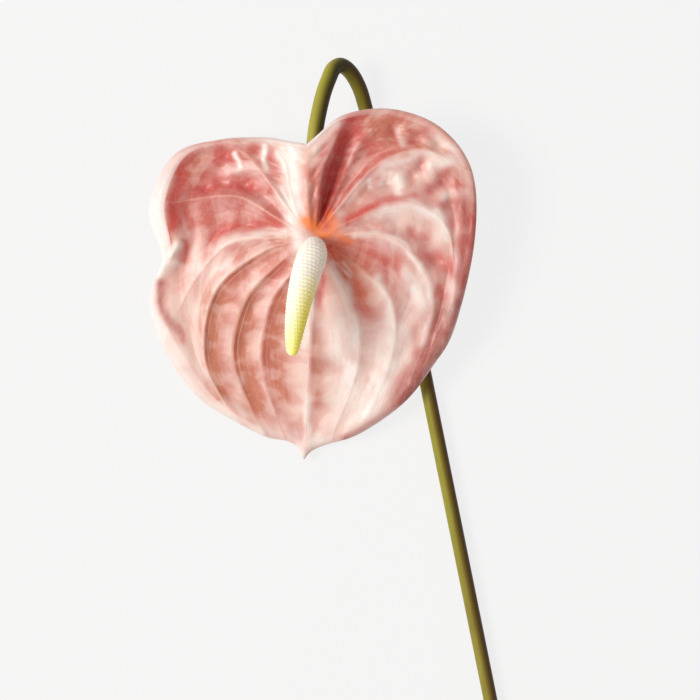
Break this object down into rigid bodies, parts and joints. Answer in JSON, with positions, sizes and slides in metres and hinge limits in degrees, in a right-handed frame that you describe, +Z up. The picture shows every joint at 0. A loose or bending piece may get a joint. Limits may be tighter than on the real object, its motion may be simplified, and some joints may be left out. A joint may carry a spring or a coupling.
{
  "type": "cut anthurium stem",
  "caption": "Cut anthurium flower lying face up: a heart-shaped folded spathe with a slim spadix on a long smooth stalk with a hooked neck.",
  "frame": {"origin": "middle of the part's bounding box in plan, on the surface that it lies on", "axes": "+Y along the part from the cut end towards the flower's head, +Z up from the surface and out of the flower's face, +X to the right as the face is seen"},
  "size_m": [0.2008, 0.4646, 0.0625],
  "materials": {
    "stem": "smooth, softly shiny olive green skin",
    "spathe": "waxy satin, pale pink mottled with rose",
    "spadix": "matt, studded with florets, white at the base to lime yellow"
  },
  "bodies": {
    "root": {"stem": "stem", "spathe": "spathe", "spadix": "spadix"}
  },
  "joints": []
}
